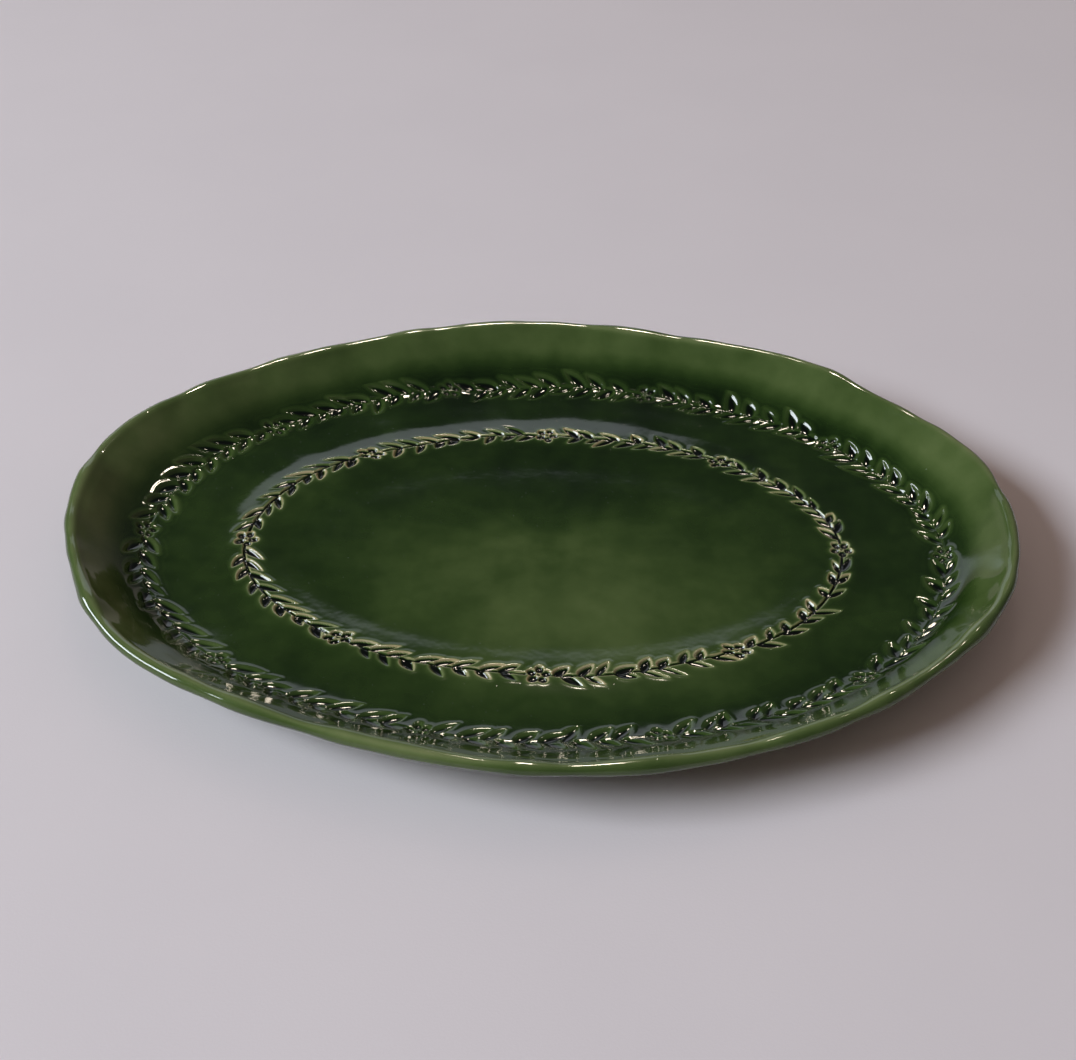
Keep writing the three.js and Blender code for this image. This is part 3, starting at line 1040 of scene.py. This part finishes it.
# Two windows to the left: the direction in degrees from the +Y axis, the width, the sill and the top. Each
# stands upright, square to its direction. The high one lights the room. The low one is only seen mirrored.
WINDOW_DISTANCE = 3.0
HIGH_WINDOW = (-112, 2.06, 1.66, 3.15)
LOW_WINDOW = (-93, 2.6, 0.97, 1.9)
WINDOW_RADIANCE = 18.5
WINDOW_COLOUR = (0.87, 0.93, 1.0)

# Two lamps behind, only seen mirrored: the direction and the height in degrees, the width and the length.
LAMP_DISTANCE = 4.0
HIGH_LAMP = (0, 66, 0.55, 0.60)
SIDE_LAMP = (35, 49, 0.18, 0.22)
LAMP_RADIANCE = 75
LAMP_COLOUR = (1.0, 0.86, 0.70)

AMBIENT = (0.28, 0.21, 0.18)  # what the room's upper part sends down on every surface
AMBIENT_FOOT = math.sin(math.radians(25))
ROOM_DARK = (0.07, 0.075, 0.08)  # the ceiling and the upper walls, as the glaze mirrors them
ROOM_PLAIN = (0.36, 0.32, 0.29)  # the lower walls, except to the right
BOARD = (0.86, 0.92, 1.0)  # a pale board behind the platter
BOARD_TOP = math.sin(math.radians(34.4))
BOARD_FOOT = math.sin(math.radians(10))
BOARD_FACING = math.radians(-12)
BOARD_HALF_TURN = math.radians(18)
BOARD_SIDE_BLUR, BOARD_TOP_BLUR, BOARD_FOOT_BLUR, AMBIENT_BLUR = 0.03, 0.02, 0.06, 0.1
PLAIN_TOP, PLAIN_TOP_BLUR = 0.25, 0.1  # the lower walls end at this height
PLAIN_RIGHT, PLAIN_LEAST = (0.15, 0.4), 0.2  # where they darken to the right, and what is left there
BACKGROUND = (0.80, 0.79, 0.80)


def area_light(name, place, facing, across, tall, radiance, colour):
    """A rectangular light at place, shining along facing."""
    data = bpy.data.lights.new(name, "AREA")
    data.shape = "RECTANGLE"
    data.size, data.size_y = across, tall
    data.energy = radiance * math.pi * across * tall
    data.color = colour
    lamp = bpy.data.objects.new(name, data)
    lamp.visible_camera = False
    lamp.location = place
    lamp.rotation_euler = (-facing).to_track_quat("Z", "Y").to_euler()
    bpy.context.scene.collection.objects.link(lamp)
    return lamp


def window_light(name, turn, across, sill, top):
    out = Vector((math.sin(math.radians(turn)), math.cos(math.radians(turn)), 0))
    middle = out * WINDOW_DISTANCE
    middle.z = (sill + top) / 2
    return area_light(name, middle, -out, across, top - sill, WINDOW_RADIANCE, WINDOW_COLOUR)


def lamp_light(name, turn, height, across, tall):
    turn, height = math.radians(turn), math.radians(height)
    out = Vector((math.sin(turn) * math.cos(height), math.cos(turn) * math.cos(height), math.sin(height)))
    return area_light(name, out * LAMP_DISTANCE, -out, across, tall, LAMP_RADIANCE, LAMP_COLOUR)


def room_light():
    """A plain pale background for the camera, a dim room with one pale board for the glaze to mirror, and
    an even light from above for the rest."""
    world = bpy.data.worlds.new("room")
    world.use_nodes = True
    bpy.context.scene.world = world
    tree = Tree(world.node_tree)
    split = tree.node("SeparateXYZ")
    tree.feed(split.inputs[0], tree.node("TexCoord").outputs["Generated"])
    x, y, z = split.outputs
    turn = tree.calc("ABSOLUTE", tree.calc("SUBTRACT", tree.calc("ARCTAN2", x, y), BOARD_FACING))
    beside = tree.fall(turn, BOARD_HALF_TURN, BOARD_SIDE_BLUR)
    below = tree.fall(z, BOARD_TOP, BOARD_TOP_BLUR)
    above = tree.rise(z, BOARD_FOOT, BOARD_FOOT_BLUR)
    board = tree.calc("MULTIPLY", tree.calc("MULTIPLY", beside, below), above)
    low, not_right = tree.fall(z, PLAIN_TOP, PLAIN_TOP_BLUR), tree.span(x, *PLAIN_RIGHT, 1.0, PLAIN_LEAST)
    lower = tree.calc("MULTIPLY", low, not_right)
    mirrored = tree.blend(board, tree.blend(lower, ROOM_DARK, ROOM_PLAIN), BOARD)
    overhead = tree.rise(z, AMBIENT_FOOT, AMBIENT_BLUR)
    even = tree.blend(overhead, (0, 0, 0), AMBIENT)
    way = tree.node("LightPath").outputs
    lighting = tree.blend(way["Is Glossy Ray"], even, mirrored)
    background = tree.node("Background")
    tree.feed(background.inputs["Color"], tree.blend(way["Is Camera Ray"], lighting, BACKGROUND))
    tree.feed(tree.node("OutputWorld").inputs["Surface"], background.outputs[0])


window_light("high_window", *HIGH_WINDOW).visible_glossy = False
window_light("low_window", *LOW_WINDOW).visible_diffuse = False
lamp_light("high_lamp", *HIGH_LAMP).visible_diffuse = False
lamp_light("side_lamp", *SIDE_LAMP).visible_diffuse = False
room_light()


# ---------- camera ----------

AIM = np.array((-0.0012, -0.00165))  # from the oval's middle
AIM_HEIGHT = 0.0105
CAMERA_DISTANCE = 0.7316  # from the point that it looks at
CAMERA_ELEVATION = math.radians(39.53)
CAMERA_TURN = math.radians(0.95)
CAMERA_ROLL = math.radians(-0.89)
CAMERA_ASIDE, CAMERA_RAISED = -0.0015, 0.0079
LENS = 57.0


def camera():
    """Looks down at the platter from the front."""
    right = Vector((1, 0, 0))
    up = Vector((0, math.sin(CAMERA_ELEVATION), math.cos(CAMERA_ELEVATION)))
    back = right.cross(up)
    place = back * CAMERA_DISTANCE + right * CAMERA_ASIDE + up * CAMERA_RAISED
    across = right * math.cos(CAMERA_ROLL) - up * math.sin(CAMERA_ROLL)
    upright = right * math.sin(CAMERA_ROLL) + up * math.cos(CAMERA_ROLL)
    turned = Matrix((across, upright, back)).transposed().to_4x4()
    turned.translation = place
    aim = Matrix.Translation((*(OVAL_MIDDLE * MM + AIM), cad_box[0].z + AIM_HEIGHT))
    data = bpy.data.cameras.new("camera")
    data.lens = LENS
    data.clip_start = 0.01
    made = bpy.data.objects.new("camera", data)
    made.matrix_world = aim @ Matrix.Rotation(CAMERA_TURN, 4, "Z") @ turned
    bpy.context.scene.collection.objects.link(made)
    bpy.context.scene.camera = made


camera()
bpy.context.scene.view_settings.view_transform = "Standard"
